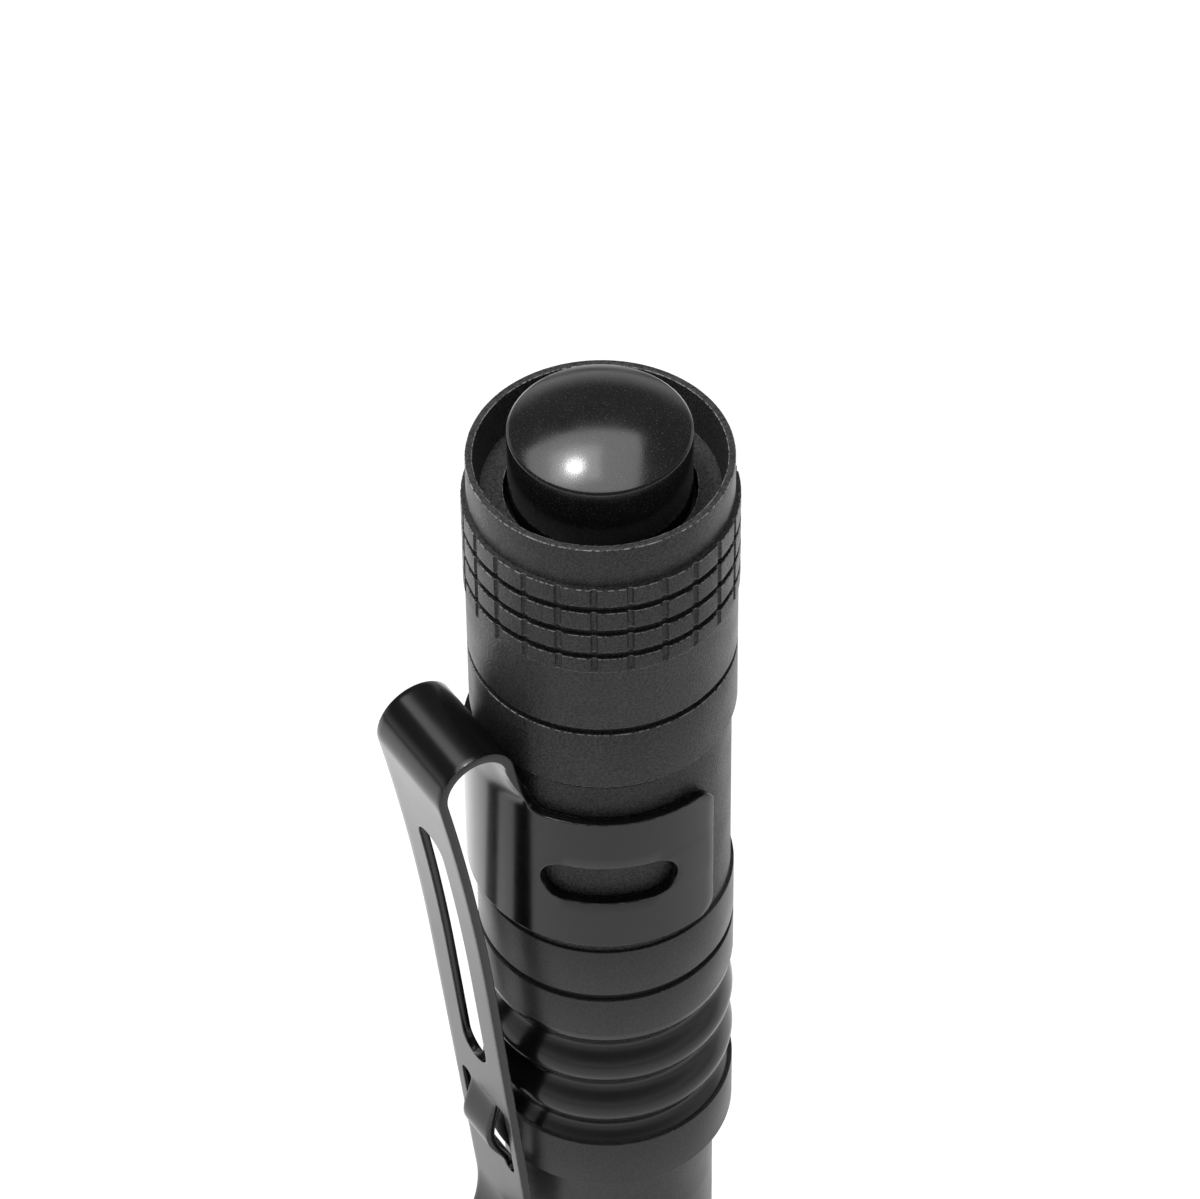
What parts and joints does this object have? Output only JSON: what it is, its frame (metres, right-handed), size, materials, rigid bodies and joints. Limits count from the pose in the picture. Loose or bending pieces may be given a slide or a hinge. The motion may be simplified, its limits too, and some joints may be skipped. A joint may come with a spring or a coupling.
{
  "type": "pocket flashlight",
  "caption": "Slim black pocket flashlight for one small cell, with a knurled screw-off tail cap, a domed push button and a bent steel pocket clip.",
  "frame": {"origin": "centre of the lens's flat front face, on the light's axis", "axes": "+Z along the axis from the lens to the tail switch, the pocket clip's arm on the -X side; the light stands on its bezel, 0.9 mm below the origin"},
  "size_m": [0.0192, 0.015, 0.0874],
  "materials": {
    "anodised_aluminium": "bead-blasted, black anodised",
    "clip_steel": "satin black coating",
    "button_rubber": "smooth moulded",
    "seal_rubber": "smooth moulded",
    "black_plastic": "moulded",
    "white_plastic": "moulded",
    "brass": "turned",
    "spring_steel": "drawn wire",
    "circuit_board": "solder mask",
    "reflector_mirror": "vacuum metallised",
    "lens_glass": "polished",
    "phosphor": "clear dome over yellow phosphor",
    "cell_sleeve": "plain printed sleeve",
    "red_wire": "wire insulation",
    "black_wire": "wire insulation"
  },
  "bodies": {
    "light_body": {"barrel": "anodised_aluminium", "head_housing": "anodised_aluminium", "lens": "lens_glass", "lens_seal_ring": "seal_rubber", "reflector": "reflector_mirror", "led_centring_ring": "white_plastic", "led_emitter": "phosphor", "led_board": "circuit_board", "heat_sink_pill": "brass", "driver_board": "circuit_board", "driver_inductor": "black_plastic", "driver_chip": "black_plastic", "lead_wire_positive": "red_wire", "lead_wire_negative": "black_wire", "cell_contact_post": "brass", "battery_cell": "cell_sleeve", "tail_seal_ring": "seal_rubber"},
    "cap_carrier": {"switch_retaining_ring": "brass"},
    "cap": {"tail_cap": "anodised_aluminium", "boot_flange": "button_rubber", "switch_housing": "black_plastic", "switch_board": "circuit_board", "switch_return_spring": "spring_steel", "tail_contact_spring": "spring_steel"},
    "button": {"push_button": "button_rubber", "switch_plunger": "white_plastic"},
    "clip": {"pocket_clip": "clip_steel"}
  },
  "joints": [
    {"name": "cap_advance", "type": "slide", "parent": "light_body", "child": "cap_carrier", "axis": [0, 0, 1], "range_m": [0, 0.0045]},
    {"name": "cap_turn", "type": "hinge", "parent": "cap_carrier", "child": "cap", "pos_m": [0, 0, 0.0723], "axis": [0, 0, 1], "range_deg": [0, 2160]},
    {"name": "button_press", "type": "slide", "parent": "cap", "child": "button", "axis": [0, 0, -1], "range_m": [0, 0.0015], "stiffness_N_per_m": 1500, "springref_m": -0.0015, "deforming": ["switch_return_spring"]},
    {"name": "clip_swivel", "type": "hinge", "parent": "light_body", "child": "clip", "pos_m": [0, 0, 0.0587], "axis": [0, 0, 1], "continuous": true}
  ],
  "couplings": [
    {"joint": "cap_turn", "follows": "cap_advance", "rad_per_m": 8377.6}
  ]
}
